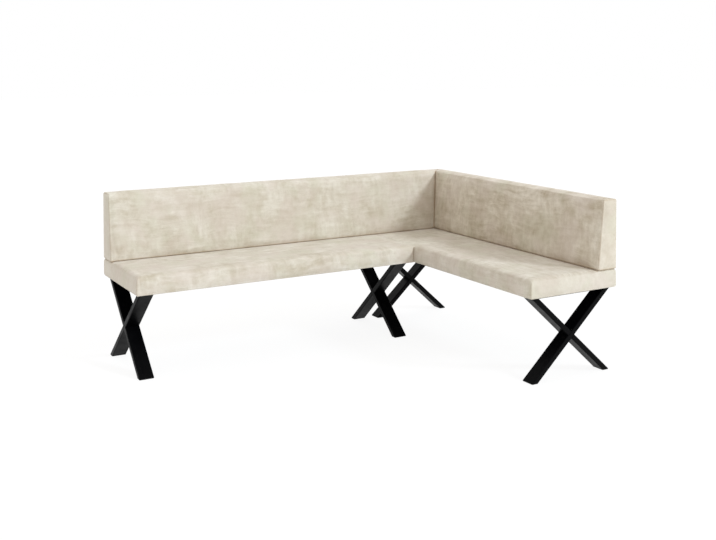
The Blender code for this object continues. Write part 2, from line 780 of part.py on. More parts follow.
def joining_plate(shop):
    bottom = PLATE_TOP - JOINING_PLATE_THICKNESS
    places = joining_screw_places()
    name = "cut_joining_screws"
    hole = screw_hole_profile(bottom, JOINING_PLATE_THICKNESS)
    cutter = shop.cutter(name, turned_mesh(name, hole, places, SCREW_SIDES, LONG), LONG)
    half = Vector((JOINING_PLATE_WIDTH / 2, JOINING_PLATE_LENGTH / 2, JOINING_PLATE_THICKNESS / 2))
    centre = Vector((SEAT_DEPTH, SEAT_DEPTH / 2, bottom + JOINING_PLATE_THICKNESS / 2))
    bm = bmesh.new()
    add_box(bm, centre - half, centre + half)
    name = "joining_plate"
    add_cut(shop.part(name, finished_mesh(bm, name, LONG), "zinc_steel", LONG), cutter)
    profile = screw_profile(bottom, JOINING_PLATE_THICKNESS)
    screw = turned_mesh("joining_screw", profile, [(0, 0)], SCREW_SIDES)
    for seat, (u, v) in zip(("wing", "long"), places):
        shop.part("joining_screw_" + seat, screw, "zinc_steel", LONG, (u, v, 0))
    return cutter


def build_side(shop, side, leg_shapes, leg_holes, leg_screw, joining_cutter):
    """One seat with its back, its two legs and every fastener that goes through them."""
    cover = seat_cover(shop, side)
    foam = seat_foam(shop, side)
    board = seat_board(shop, side)
    cloth = dust_cover(shop, side)
    rails, rail_pockets = seat_rails(shop, side)
    back_cover(shop, side)
    wedge = back_foam(shop, side)
    timber, timber_pockets = back_timber(shop, side)
    bolt_cutter = back_bolts(shop, side)
    leg_cutters = legs(shop, side, leg_shapes, leg_holes, leg_screw)

    for pocket in rail_pockets:
        add_cut(foam, pocket)
    for pocket in timber_pockets:
        add_cut(wedge, pocket)
    for obj in (cover, foam, board, cloth, rails[0], timber["base"]):
        add_cut(obj, bolt_cutter)
    for obj in (board, cloth):
        for cutter in leg_cutters:
            add_cut(obj, cutter)
    for obj in (cover, board, cloth):
        add_cut(obj, joining_cutter)


def main():
    clear_scene()
    shop = Workshop()
    leg_shapes = leg_meshes()
    hole = screw_hole_profile(PLATE_BOTTOM, PLATE_THICKNESS)
    leg_holes = turned_mesh("leg_screw_holes", hole, leg_screw_places(), SCREW_SIDES)
    profile = screw_profile(PLATE_BOTTOM, PLATE_THICKNESS)
    leg_screw = turned_mesh("leg_screw", profile, [(0, 0)], SCREW_SIDES)
    joining_cutter = joining_plate(shop)
    for side in (LONG, WING):
        build_side(shop, side, leg_shapes, leg_holes, leg_screw, joining_cutter)


main()
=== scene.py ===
"""Looks of the corner bench: velvet upholstery, black steel legs, studio and camera.

Metres, +Z up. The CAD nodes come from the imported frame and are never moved. The velvet covers and
their foam are replaced by padded pieces that a cloth simulation swells, and every other node keeps
its shape and gets a finish.
"""

import json
import math

import bmesh
import bpy
import numpy as np
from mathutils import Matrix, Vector


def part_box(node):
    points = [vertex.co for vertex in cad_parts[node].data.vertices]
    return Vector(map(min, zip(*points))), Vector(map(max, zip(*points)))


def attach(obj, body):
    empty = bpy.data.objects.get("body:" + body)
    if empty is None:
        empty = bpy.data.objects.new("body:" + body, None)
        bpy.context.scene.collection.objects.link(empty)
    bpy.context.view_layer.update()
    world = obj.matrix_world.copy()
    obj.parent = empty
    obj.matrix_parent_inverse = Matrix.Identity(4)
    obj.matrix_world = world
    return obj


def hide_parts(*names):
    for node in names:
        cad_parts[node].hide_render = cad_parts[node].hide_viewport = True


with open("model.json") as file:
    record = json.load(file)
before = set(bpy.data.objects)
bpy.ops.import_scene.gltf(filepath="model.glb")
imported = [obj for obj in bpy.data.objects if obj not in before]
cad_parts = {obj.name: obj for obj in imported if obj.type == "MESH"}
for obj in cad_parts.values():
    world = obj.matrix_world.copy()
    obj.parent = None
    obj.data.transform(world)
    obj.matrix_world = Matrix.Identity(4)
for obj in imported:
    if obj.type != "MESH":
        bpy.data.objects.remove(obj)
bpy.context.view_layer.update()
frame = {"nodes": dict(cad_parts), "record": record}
NODES = frame["nodes"]

# Where the upholstery stands, read from the frame except for the two depths of the backs
SEAT_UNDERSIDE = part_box("long_seat_cover")[0].z
BACK_GAP = 0.0003
SEAT_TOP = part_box("long_back_cover")[0].z - BACK_GAP
BACK_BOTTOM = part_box("long_back_cover")[0].z
BACK_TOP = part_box("long_back_cover")[1].z
LEFT_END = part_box("long_seat_cover")[0].x
RIGHT_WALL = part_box("wing_seat_cover")[1].x
REAR_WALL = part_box("wing_seat_cover")[1].y
FRONT_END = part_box("wing_seat_cover")[0].y
SEAM_X = (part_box("long_seat_cover")[1].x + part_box("wing_seat_cover")[0].x) / 2
LONG_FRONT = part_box("long_seat_cover")[0].y
BACK_FOOT_DEPTH = 0.116  # depth at the seat, the same as in the part
BACK_HEAD_DEPTH = 0.085  # depth at the top, the same as in the part
WING_BACK_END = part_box("wing_back_cover")[0].y

# Upholstery
VOXEL = 0.0085
SLACK = 0.0015
TOP_SLACK = 0.0008
SWELL_CAP = 0.003
CLOTH_FRAMES = 10
CLOTH_QUALITY = 3
PRESSURE = 4.0
LOOSENESS = 0.010
SEAT_SEAM_GAP = 0.0008
MITRE_GAP = 0.0006
SEAT_ROUND = 0.012
SEAT_CORNER_ROUND = 0.005
REAR_CORNER_ROUND = 0.005
OUTER_CORNER_ROUND = 0.010
INNER_CORNER_ROUND = 0.003
BACK_ROUND = 0.009
BACK_CORNER_ROUND = 0.004
BACK_BOTTOM_ROUND = 0.004
BOTTOM_ROUND = 0.0015
OVERRUN = 0.04
SIDE_SLACK = 0.0004
HEM_INSET = 0.0
SEAT_CROWN = 0.0025
BACK_CROWN = 0.003
HEM_HEIGHT = 0.006
HEM_WIDTH = 0.003
SEAM_WIDTH = 0.003
HEM_DEPTH = 0.0015
END_SEAM_DEPTH = 0.0016
FRONT_SEAM_DEPTH = 0.0006
INNER_SEAM_DEPTH = 0.0035
SEAM_HOLD = 0.016
FINE_REACH = 0.012
# Width of the band of painted shade along crevices and sewn corners
CREVICE_SHADE_WIDTH = 0.006
CREASES_PER_METRE = 45
CREASE_LENGTH = (0.03, 0.14)
CREASE_WIDTH = (0.006, 0.016)
CREASE_DEPTH = 0.0009
CREASE_REACH = 0.03
HOLD_REACH = 0.014
SHEET_CELL = 0.025
SHEET_SAG = 0.002
SHEET_GAP = 0.0002
SHEET_THICKNESS = 0.0004

# Velvet. The tone of the even nap on end panels lies between against the nap, 0, and along it, 1
END_TONE = 0.62
# Painted shade: the warm dark colour the velvet is blended towards in crevices and along sewn corners
CREVICE_SHADE_COLOUR = (176, 146, 108)

# Studio
AMBIENT = 0.945
REAR_GLOW = 0.3
REAR_DIRECTION = (0.67, 0.67, -0.32)
AMBIENT_COLOUR = (1.0, 0.972, 0.945)
KEY_STRENGTH = 1.67
KEY_COLOUR = (0.83, 0.92, 1.0)
KEY_ANGLE = math.radians(11)
KEY_DIRECTION = Vector((1.0, -1.35, 1.0))
FLOOR_SIZE = 60.0
FLOOR_DROP = 0.0005
FLOOR_GLOW = 0.90
FLOOR_SHADE = 0.13

# Camera, from the perspective of the photograph
CAMERA_PLACE = Vector((-2.3895, -4.1533, 1.4716))
CAMERA_YAW = 0.5266
CAMERA_PITCH = 0.0352
SENSOR = 36.0
LENS = 50.64
SHIFT_Y = -0.2509
CAMERA_ROLL = 0.0006


# Node tree helpers


def new_material(name, base, roughness, metallic=0.0):
    """A material with a Principled shader, and the tree to add to."""
    material = bpy.data.materials.new(name)
    material.use_nodes = True
    tree = material.node_tree
    shader = tree.nodes["Principled BSDF"]
    shader.inputs["Base Color"].default_value = (*base, 1.0)
    shader.inputs["Roughness"].default_value = roughness
    shader.inputs["Metallic"].default_value = metallic
    return material, tree, shader


def add(tree, kind, inputs=None, **settings):
    node = tree.nodes.new(kind)
    for key, value in settings.items():
        setattr(node, key, value)
    for key, value in (inputs or {}).items():
        if isinstance(value, bpy.types.NodeSocket):
            tree.links.new(value, node.inputs[key])
        else:
            node.inputs[key].default_value = value
    return node


def object_coordinates(tree):
    return add(tree, "ShaderNodeTexCoord").outputs["Object"]


def stretched(tree, vector, scale, offset=(0, 0, 0)):
    inputs = {"Vector": vector, "Scale": scale, "Location": offset}
    return add(tree, "ShaderNodeMapping", inputs).outputs["Vector"]


def noise_of(tree, vector, scale, detail=2.0, roughness=0.5, distortion=0.0):
    inputs = {
        "Vector": vector,
        "Scale": scale,
        "Detail": detail,
        "Roughness": roughness,
        "Distortion": distortion,
    }
    return add(tree, "ShaderNodeTexNoise", inputs).outputs["Fac"]


def remap(tree, value, low, high, out_low=0.0, out_high=1.0):
    inputs = {"Value": value, "From Min": low, "From Max": high, "To Min": out_low, "To Max": out_high}
    return add(tree, "ShaderNodeMapRange", inputs).outputs["Result"]


def arithmetic(tree, operation, first, second, clamp=False):
    return add(
        tree, "ShaderNodeMath", {0: first, 1: second}, operation=operation, use_clamp=clamp
    ).outputs[0]


def blend_colours(tree, share, first, second):
    node = add(tree, "ShaderNodeMix", {"Factor": share}, data_type="RGBA")
    for index, value in ((6, first), (7, second)):
        if isinstance(value, bpy.types.NodeSocket):
            tree.links.new(value, node.inputs[index])
        else:
            node.inputs[index].default_value = (*value, 1.0)
    return node.outputs[2]


def bump(tree, shader, height, distance, strength=1.0):
    made = add(tree, "ShaderNodeBump", {"Height": height, "Distance": distance, "Strength": strength})
    tree.links.new(made.outputs["Normal"], shader.inputs["Normal"])
    return made


def linear(red, green, blue):
    channels = (red / 255, green / 255, blue / 255)
    return tuple(c / 12.92 if c <= 0.04045 else ((c + 0.055) / 1.055) ** 2.4 for c in channels)


# Materials


def velvet_material(name, run, against, along_nap):
    """Brushed velvet: cloudy patches where the pile lies another way, streaks of the brush along the run,
    finer ones down it, and fine pile. run is 0 along X and 1 along Y, and the two colours are those seen
    against the nap and along it. The nap is more even on the end panels, which face along the run."""
    material, tree, shader = new_material(name, linear(212, 204, 189), 0.9)
    place = object_coordinates(tree)
    drift = add(tree, "ShaderNodeTexNoise", {"Vector": place, "Scale": 3.0, "Detail": 3.0})
    warp = add(
        tree, "ShaderNodeVectorMath", {0: drift.outputs["Color"], 1: (0.10, 0.10, 0.10)}, operation="MULTIPLY"
    )
    warped = add(tree, "ShaderNodeVectorMath", {0: place, 1: warp.outputs[0]}, operation="ADD").outputs[0]

    clouds = noise_of(tree, warped, 8.0, 5.0, 0.62, 0.2)
    along, down = [48.0] * 3, [7.0] * 3
    along[run], down[run] = 5.0, 52.0
    level = noise_of(tree, stretched(tree, warped, along, (3, 1, 5)), 1.0, 4.0, 0.65)
    upright = noise_of(tree, stretched(tree, warped, down), 1.0, 4.0, 0.65)
    choice = remap(tree, noise_of(tree, place, 5.0, 2.0), 0.34, 0.62, 0.35, 1.0)
    streaks = add(tree, "ShaderNodeMix", {"Factor": choice, 2: upright, 3: level}).outputs[0]
    patches = noise_of(tree, place, 30.0, 3.0, 0.6)
    tufts = noise_of(tree, place, 210.0, 3.0, 0.7)
    pile = noise_of(tree, place, 900.0, 2.0, 0.6)

    lay = remap(tree, clouds, 0.34, 0.66, 0.0, 0.5)
    lines = remap(tree, streaks, 0.36, 0.64, 0.0, 0.38)
    spots = remap(tree, patches, 0.34, 0.66, 0.0, 0.22)
    fine = remap(tree, tufts, 0.3, 0.7, 0.0, 0.16)
    total = arithmetic(tree, "ADD", arithmetic(tree, "ADD", lay, lines), arithmetic(tree, "ADD", spots, fine))
    mixed = remap(tree, total, 0.18, 1.18)
    facing = add(tree, "ShaderNodeTexCoord").outputs["Normal"]
    across = add(tree, "ShaderNodeSeparateXYZ", {"Vector": facing}).outputs[run]
    ends = remap(tree, arithmetic(tree, "ABSOLUTE", across, 0.0), 0.6, 0.85, 0.0, 0.6)
    tone = add(tree, "ShaderNodeMix", {"Factor": ends, 2: mixed, 3: END_TONE}).outputs[0]
    napped = blend_colours(tree, tone, against, along_nap)
    blush = remap(tree, noise_of(tree, warped, 7.0, 3.0, 0.5), 0.45, 0.65, 0.0, 0.45)
    tinted = blend_colours(tree, blush, napped, linear(214, 201, 190))
    spread = noise_of(tree, stretched(tree, warped, (6, 6, 6), (9, 4, 2)), 1.0, 3.0)
    moss = remap(tree, spread, 0.5, 0.68, 0.0, 0.4)
    tinted = blend_colours(tree, moss, tinted, linear(206, 204, 182))
    grain = remap(tree, pile, 0.3, 0.7, 0.0, 0.1)
    surface = blend_colours(tree, grain, tinted, linear(150, 140, 120))
    # Painted shade: up to 55% of a warm dark colour towards crevices and sewn corners
    crevice_shade_share = add(tree, "ShaderNodeAttribute", attribute_name="painted_crevice_shade").outputs["Fac"]
    colour = blend_colours(tree, remap(tree, crevice_shade_share, 0.0, 1.0, 0.0, 0.55), surface, linear(*CREVICE_SHADE_COLOUR))
    tree.links.new(colour, shader.inputs["Base Color"])
    shader.inputs["Sheen Weight"].default_value = 0.6
    shader.inputs["Sheen Roughness"].default_value = 0.32
    shader.inputs["Sheen Tint"].default_value = (1.0, 0.98, 0.95, 1.0)
    shader.inputs["Specular IOR Level"].default_value = 0.15

    height = arithmetic(tree, "MULTIPLY_ADD", pile, 0.25)
    tree.links.new(tone, height.node.inputs[2])
    bump(tree, shader, height, 0.0012, 0.5)
    return material


def black_steel_material():
    """Semi-gloss powder coat with the fine orange-peel surface that it cures to."""
    material, tree, shader = new_material("black_powder_coat", linear(3, 3, 4), 0.45)
    place = object_coordinates(tree)
    peel = noise_of(tree, place, 420.0, 2.0, 0.55)
    wear = noise_of(tree, place, 18.0, 3.0, 0.6)
    tree.links.new(remap(tree, wear, 0.3, 0.7, 0.34, 0.5), shader.inputs["Roughness"])
    shader.inputs["Specular IOR Level"].default_value = 0.06
    bump(tree, shader, peel, 0.0003, 0.35)
    return material


def foam_material():
    """Open-cell foam. It is hidden once the covers are on."""
    material, tree, shader = new_material("foam", linear(226, 214, 170), 0.95)
    cells = add(tree, "ShaderNodeTexVoronoi", {"Vector": object_coordinates(tree), "Scale": 500.0})
    bump(tree, shader, cells.outputs["Distance"], 0.0008, 0.6)
    return material


def plastic_material():
    material, tree, shader = new_material("black_plastic", linear(20, 20, 21), 0.55)
    grain = noise_of(tree, object_coordinates(tree), 900.0, 2.0)
    tree.links.new(remap(tree, grain, 0.3, 0.7, 0.48, 0.62), shader.inputs["Roughness"])
    bump(tree, shader, grain, 0.0002, 0.4)
    return material


def zinc_material():
    """Bright zinc plate with faint crystals and turning marks."""
    material, tree, shader = new_material("zinc_plate", linear(180, 183, 188), 0.34, 1.0)
    place = object_coordinates(tree)
    crystals = add(tree, "ShaderNodeTexVoronoi", {"Vector": place, "Scale": 220.0}).outputs["Distance"]
    fine = noise_of(tree, place, 600.0, 3.0)
    colour = blend_colours(
        tree, remap(tree, crystals, 0.0, 0.8, 0.0, 0.6), linear(192, 195, 200), linear(158, 160, 166)
    )
    tree.links.new(colour, shader.inputs["Base Color"])
    tree.links.new(remap(tree, fine, 0.3, 0.7, 0.28, 0.42), shader.inputs["Roughness"])
    bump(tree, shader, fine, 0.0001, 0.5)
    return material


def timber_material(name, light, dark, rings):
    """Planed timber or ply: long grain along the piece, with darker late wood."""
    material, tree, shader = new_material(name, light, 0.62)
    place = object_coordinates(tree)
    grain = noise_of(tree, stretched(tree, place, rings), 1.0, 4.0, 0.6, 0.8)
    pores = noise_of(tree, place, 500.0, 2.0)
    colour = blend_colours(tree, remap(tree, grain, 0.35, 0.65), light, dark)
    tree.links.new(colour, shader.inputs["Base Color"])
    bump(tree, shader, pores, 0.0003, 0.4)
    return material


def dust_cloth_material():
    """Black nonwoven cloth with its pressed dots."""
    material, tree, shader = new_material("dust_cloth", linear(36, 36, 38), 0.95)
    place = object_coordinates(tree)
    dots = add(tree, "ShaderNodeTexVoronoi", {"Vector": place, "Scale": 330.0, "Randomness": 0.15})
    fibres = noise_of(tree, place, 900.0, 3.0)
    pressed = remap(tree, dots.outputs["Distance"], 0.15, 0.4)
    colour = blend_colours(tree, pressed, linear(26, 26, 28), linear(44, 44, 47))
    tree.links.new(colour, shader.inputs["Base Color"])
    height = arithmetic(tree, "ADD", pressed, fibres)
    bump(tree, shader, height, 0.0003, 0.5)
    return material


# Padded pieces


def coordinates(mesh, what="co"):
    found = np.empty(len(mesh.vertices) * 3, np.float32)
    mesh.vertices.foreach_get(what, found)
    return found.reshape(-1, 3).astype(float)


def set_coordinates(mesh, points):
    mesh.vertices.foreach_set("co", np.ascontiguousarray(points, np.float32).ravel())
    mesh.update()


def apply_modifiers(obj):
    """Replaces the object's mesh with what its modifiers make of it."""
    graph = bpy.context.evaluated_depsgraph_get()
    mesh = bpy.data.meshes.new_from_object(obj.evaluated_get(graph))
    obj.modifiers.clear()
    obj.data = mesh


def ease(low, high, value):
    """0 below low, 1 above high, and a smooth step between."""
    share = np.clip((value - low) / (high - low), 0, 1)
    return share * share * (3 - 2 * share)


def dome(share, power=4):
    """1 in the middle of a span and 0 at its ends, and flat in between."""
    return 1 - np.abs(2 * np.clip(share, 0, 1) - 1) ** power


def block(name, low_outline, high_outline, bottom, top, radius_of, largest):
    """A closed form between two outlines, with its edges rounded, and the same form remeshed evenly."""
    bm = bmesh.new()
    low = [bm.verts.new((x, y, bottom)) for x, y in low_outline]
    high = [bm.verts.new((x, y, top)) for x, y in high_outline]
    bm.faces.new(low)
    bm.faces.new(high)
    for i in range(len(low)):
        j = (i + 1) % len(low)
        bm.faces.new((low[i], low[j], high[j], high[i]))
    bmesh.ops.recalc_face_normals(bm, faces=bm.faces)
    layer = bm.edges.layers.float.new("bevel_weight_edge")
    for edge in bm.edges:
        first, second = (vert.co for vert in edge.verts)
        edge[layer] = radius_of((first + second) / 2, (second - first).normalized()) / largest
    mesh = bpy.data.meshes.new(name)
    bm.to_mesh(mesh)
    bm.free()
    obj = bpy.data.objects.new(name, mesh)
    bpy.context.scene.collection.objects.link(obj)
    bevel = obj.modifiers.new("rounding", "BEVEL")
    bevel.width = largest
    bevel.segments = 5
    bevel.limit_method = "WEIGHT"
    apply_modifiers(obj)
    crisp = bpy.data.objects.new(name + "_form", obj.data.copy())
    bpy.context.scene.collection.objects.link(crisp)
    remesh = obj.modifiers.new("remesh", "REMESH")
    remesh.mode = "VOXEL"
    remesh.voxel_size = VOXEL
    smooth = obj.modifiers.new("smooth", "SMOOTH")
    smooth.factor = 0.5
    smooth.iterations = 4
    apply_modifiers(obj)
    return obj, crisp


def pull_to_form(obj, crisp, weight):
    """Moves the points that the cloth didn't free back onto the crisp form, and removes that form."""
    group = obj.vertex_groups.new(name="pulled")
    for index in np.nonzero(weight > 0.01)[0]:
        group.add([int(index)], float(weight[index]), "REPLACE")
    wrap = obj.modifiers.new("form", "SHRINKWRAP")
    wrap.target = crisp
    wrap.wrap_method = "NEAREST_SURFACEPOINT"
    wrap.vertex_group = "pulled"
    apply_modifiers(obj)
    obj.vertex_groups.clear()
    bpy.data.objects.remove(crisp)


def swell(obj, held):
    """Blows the cover up over its filling. It stays where it rests on something or is stapled."""
    rest = coordinates(obj.data)
    group = obj.vertex_groups.new(name="held")
    for index in np.nonzero(held > 0.01)[0]:
        group.add([int(index)], float(held[index]), "REPLACE")
    cloth = obj.modifiers.new("cloth", "CLOTH")
    settings = cloth.settings
    settings.quality = CLOTH_QUALITY
    settings.mass = 0.3
    settings.tension_stiffness = 12
    settings.compression_stiffness = 12
    settings.shear_stiffness = 4
    settings.bending_stiffness = 0.4
    settings.use_pressure = True
    settings.uniform_pressure_force = PRESSURE
    settings.vertex_group_mass = "held"
    settings.effector_weights.gravity = 0
    settings.shrink_min = -LOOSENESS
    cloth.collision_settings.use_collision = False
    scene = bpy.context.scene
    for number in range(1, CLOTH_FRAMES + 1):
        scene.frame_set(number)
    apply_modifiers(obj)
    scene.frame_set(1)
    obj.vertex_groups.clear()
    moved = coordinates(obj.data) - rest
    length = np.linalg.norm(moved, axis=1, keepdims=True)
    share = SWELL_CAP * np.tanh(length / SWELL_CAP) / np.maximum(length, 1e-9)
    set_coordinates(obj.data, rest + moved * share)


def creased(points, normal, seed, box, count):
    """Depth of soft creases: short lines pressed into the cover, each with a rounded section."""
    rng = np.random.default_rng(seed)
    low, high = (np.array(corner) for corner in box)
    depth = np.zeros(len(points))
    for _ in range(count):
        centre = rng.uniform(low, high)
        facing = normal[np.argmin(((points - centre) ** 2).sum(1))]
        along = np.cross(facing, rng.normal(size=3))
        along /= np.linalg.norm(along)
        across = np.cross(facing, along)
        reach = rng.uniform(*CREASE_LENGTH)
        width = rng.uniform(*CREASE_WIDTH)
        offset = points - centre
        u = offset @ along / reach
        v = offset @ across / width + rng.uniform(-1.5, 1.5) * u * u
        near = np.exp(-(u**2) * 2 - v**2 - (offset @ facing / CREASE_REACH) ** 2)
        depth += near * rng.uniform(-1, 1) * CREASE_DEPTH
    return depth


def groove(distance, width):
    return np.exp(-((distance / width) ** 2))


def from_arris(points, arris):
    """How much further each point is from a sewn corner than the corner's own crest."""
    start, end = (np.array(place) for place in arris)
    along = end - start
    share = np.clip((points - start) @ along / (along @ along), 0, 1)
    distance = np.linalg.norm(points - start - share[:, None] * along, axis=1)
    return distance - distance.min()


def refine(obj, near):
    """Halves the edges near a seam, so that its groove has points to follow."""
    bm = bmesh.new()
    bm.from_mesh(obj.data)
    bm.verts.ensure_lookup_table()
    edges = [edge for edge in bm.edges if all(near[vert.index] for vert in edge.verts)]
    bmesh.ops.subdivide_edges(bm, edges=edges, cuts=1, use_grid_fill=True)
    bm.to_mesh(obj.data)
    bm.free()


def cut_flat(obj, side):
    """Takes off what runs past the seam between the seats and closes the end flat. side is 1 or -1."""
    bm = bmesh.new()
    bm.from_mesh(obj.data)
    place = Vector((SEAM_X - side * SEAT_SEAM_GAP / 2, 0, 0))
    everything = list(bm.verts) + list(bm.edges) + list(bm.faces)
    bmesh.ops.bisect_plane(
        bm, geom=everything, plane_co=place, plane_no=(side, 0, 0), clear_outer=True
    )
    rim = [edge for edge in bm.edges if edge.is_boundary]
    for face in bmesh.ops.holes_fill(bm, edges=rim, sides=0)["faces"]:
        face.smooth = False
        for edge in face.edges:
            edge.smooth = False
    bm.to_mesh(obj.data)
    bm.free()


def dress(obj, crisp, held, hem, painted_crevice_shade, corners, material, nodes, seed, seam_side=0):
    """Simulates, refines, seams and declares one padded piece. The function after hem says how near each
    point is to the crevice against a neighbour, where the velvet's colour gets painted shade, as it does
    along the sewn corners. corners are the sewn corner lines, each with the depth of its seam."""

    def fixed(points):
        sewn = [1 - ease(0.0, SEAM_HOLD, from_arris(points, line)) for line, _ in corners]
        return np.max([held(points), *sewn], axis=0)

    swell(obj, fixed(coordinates(obj.data)))
    finer = obj.modifiers.new("finer", "SUBSURF")
    finer.levels = finer.render_levels = 1
    apply_modifiers(obj)
    points = coordinates(obj.data)
    refine(obj, np.min([from_arris(points, line) for line, _ in corners], axis=0) < FINE_REACH)
    pull_to_form(obj, crisp, fixed(coordinates(obj.data)))
    points, normal = coordinates(obj.data), coordinates(obj.data, "normal")
    box = points.min(0), points.max(0)
    count = round(CREASES_PER_METRE * (box[1] - box[0]).max())
    depth = creased(points, normal, seed, box, count) * (1 - fixed(points))
    pressed = [groove(from_arris(points, line), SEAM_WIDTH) for line, _ in corners]
    sunken = [sunk * near for near, (_, sunk) in zip(pressed, corners)]
    depth -= np.max([HEM_DEPTH * hem(points, normal), *sunken], axis=0)
    # Painted shade for the velvet, near crevices against neighbours and along the sewn corners
    crevice_shade_layer = obj.data.attributes.new("painted_crevice_shade", "FLOAT", "POINT")
    crevice_shade_share = np.max([painted_crevice_shade(points), *(part / INNER_SEAM_DEPTH for part in sunken)], axis=0)
    crevice_shade_layer.data.foreach_set("value", crevice_shade_share.astype(np.float32))
    set_coordinates(obj.data, points + normal * depth[:, None])
    obj.data.shade_smooth()
    if seam_side:
        cut_flat(obj, seam_side)
    obj.data.materials.clear()
    obj.data.materials.append(MATERIALS[material])
    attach(obj, "root")
    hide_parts(*nodes)


def seat(name, outline_at, low, bare_high, corner_radius, corners, seam_side, material, nodes, seed):
    """A seat pad. outline_at gives its plan for an inset. Its top shows from low to bare_high, where the
    backs stand."""
    foot, outline = outline_at(HEM_INSET), outline_at(SLACK)
    middle_z = (SEAT_UNDERSIDE + SEAT_TOP) / 2

    def radius_of(middle, along):
        if abs(along.z) > 0.5:
            return corner_radius(middle)
        return SEAT_ROUND if middle.z > middle_z else BOTTOM_ROUND

    top = SEAT_TOP - TOP_SLACK
    obj, crisp = block(name, foot, outline, SEAT_UNDERSIDE, top, radius_of, SEAT_ROUND)
    points = coordinates(obj.data)
    rise = dome((points[:, 0] - low[0]) / (bare_high[0] - low[0]))
    rise *= dome((points[:, 1] - low[1]) / (bare_high[1] - low[1]))
    points[:, 2] += SEAT_CROWN * rise * ease(top - 0.025, top - 0.004, points[:, 2])
    set_coordinates(obj.data, points)

    def held(points):
        stapled = 1 - ease(SEAT_UNDERSIDE + 0.004, SEAT_UNDERSIDE + 0.016, points[:, 2])
        covered = ease(bare_high[1] - 0.012, bare_high[1] + 0.004, points[:, 1])
        if seam_side < 0:
            beside = ease(bare_high[0] - 0.012, bare_high[0] + 0.004, points[:, 0])
            covered = np.maximum(covered, beside)
        joined = ease(-0.014, -0.004, seam_side * (points[:, 0] - SEAM_X))
        joined *= ease(LONG_FRONT - 0.004, LONG_FRONT + 0.004, points[:, 1])
        return np.max([stapled, covered, joined], axis=0)

    def hem(points, normal):
        sides = np.abs(normal[:, 2]) < 0.7
        return groove(points[:, 2] - SEAT_UNDERSIDE - HEM_HEIGHT, HEM_WIDTH) * sides

    # Painted shade on the seat's top along its crevices against the backs
    def painted_crevice_shade(points):
        to_long_back = groove(bare_high[1] - points[:, 1], CREVICE_SHADE_WIDTH)
        to_wing_back = groove(bare_high[0] - points[:, 0], CREVICE_SHADE_WIDTH) * (seam_side < 0)
        return np.maximum(to_long_back, to_wing_back) * ease(top - 0.006, top - 0.002, points[:, 2])

    lines = [(((x, y, SEAT_UNDERSIDE), (x, y, SEAT_TOP)), sunk) for x, y, sunk in corners]
    dress(obj, crisp, held, hem, painted_crevice_shade, lines, material, nodes, seed, seam_side)

def back(name, outline_at, end, facing, material, nodes, seed):
    """A wedge-shaped back. outline_at gives its plan for a depth and a slack, and end is its free end."""
    foot = outline_at(BACK_FOOT_DEPTH, 0.0)
    head = outline_at(BACK_HEAD_DEPTH - TOP_SLACK, TOP_SLACK)
    wall = (RIGHT_WALL, REAR_WALL)[facing]
    end_round = (OUTER_CORNER_ROUND, INNER_CORNER_ROUND)[facing]
    middle_z = (BACK_BOTTOM + BACK_TOP) / 2

    def radius_of(middle, along):
        if abs(along.z) > 0.5:
            if abs(middle[1 - facing] - end) > 0.02:
                return INNER_CORNER_ROUND
            return BACK_CORNER_ROUND if wall - middle[facing] > 0.03 else end_round
        if middle.z > middle_z:
            return BACK_ROUND if abs(along[facing]) < 0.5 else BACK_CORNER_ROUND
        return BACK_BOTTOM_ROUND if wall - middle[facing] > 0.03 else BOTTOM_ROUND

    obj, crisp = block(name, foot, head, BACK_BOTTOM, BACK_TOP, radius_of, OUTER_CORNER_ROUND)
    far = (RIGHT_WALL, REAR_WALL)[1 - facing] - BACK_FOOT_DEPTH
    points = coordinates(obj.data)
    rise = dome((points[:, 1 - facing] - end) / (far - end))
    rise *= dome((points[:, 2] - BACK_BOTTOM) / (BACK_TOP - BACK_BOTTOM))
    front = ease(0.03, 0.06, wall - points[:, facing])
    points[:, facing] -= BACK_CROWN * rise * front
    set_coordinates(obj.data, points)

    def from_mitre(points):
        other = (RIGHT_WALL, REAR_WALL)[1 - facing] - points[:, 1 - facing]
        return other - (wall - points[:, facing])

    def held(points):
        standing = 1 - ease(BACK_BOTTOM + 0.003, BACK_BOTTOM + HOLD_REACH, points[:, 2])
        against = 1 - ease(0.004, 0.012, wall - points[:, facing])
        mitre = 1 - ease(0.004, HOLD_REACH, from_mitre(points))
        return np.max([standing, against, mitre], axis=0)

    # Painted shade along the back's foot and its mitre
    def painted_crevice_shade(points):
        foot = groove(points[:, 2] - BACK_BOTTOM, CREVICE_SHADE_WIDTH)
        return np.maximum(foot, groove(from_mitre(points), CREVICE_SHADE_WIDTH))

    def hem(points, normal):
        """A back has no hem."""
        return np.zeros(len(points))

    corners = []
    for depth, height in ((BACK_FOOT_DEPTH, BACK_BOTTOM), (BACK_HEAD_DEPTH, BACK_TOP), (0.0, BACK_TOP)):
        place = [0.0, 0.0, height]
        place[facing], place[1 - facing] = wall - depth, end
        corners.append(place)
    lines = [(corners[:2], END_SEAM_DEPTH), (corners[1:], END_SEAM_DEPTH)]
    dress(obj, crisp, held, hem, painted_crevice_shade, lines, material, nodes, seed)


def long_back_outline(depth, slack):
    """Plan of the long back, with its mitred end in the corner."""
    gap = MITRE_GAP / math.sqrt(2)
    front = REAR_WALL - depth
    return [
        (LEFT_END + slack, front),
        (RIGHT_WALL - depth - gap, front),
        (RIGHT_WALL - gap, REAR_WALL),
        (LEFT_END, REAR_WALL),
    ]


def wing_back_outline(depth, slack):
    gap = MITRE_GAP / math.sqrt(2)
    return [
        (RIGHT_WALL - depth, WING_BACK_END + slack),
        (RIGHT_WALL, WING_BACK_END),
        (RIGHT_WALL, REAR_WALL - gap),
        (RIGHT_WALL - depth, REAR_WALL - depth - gap),
    ]


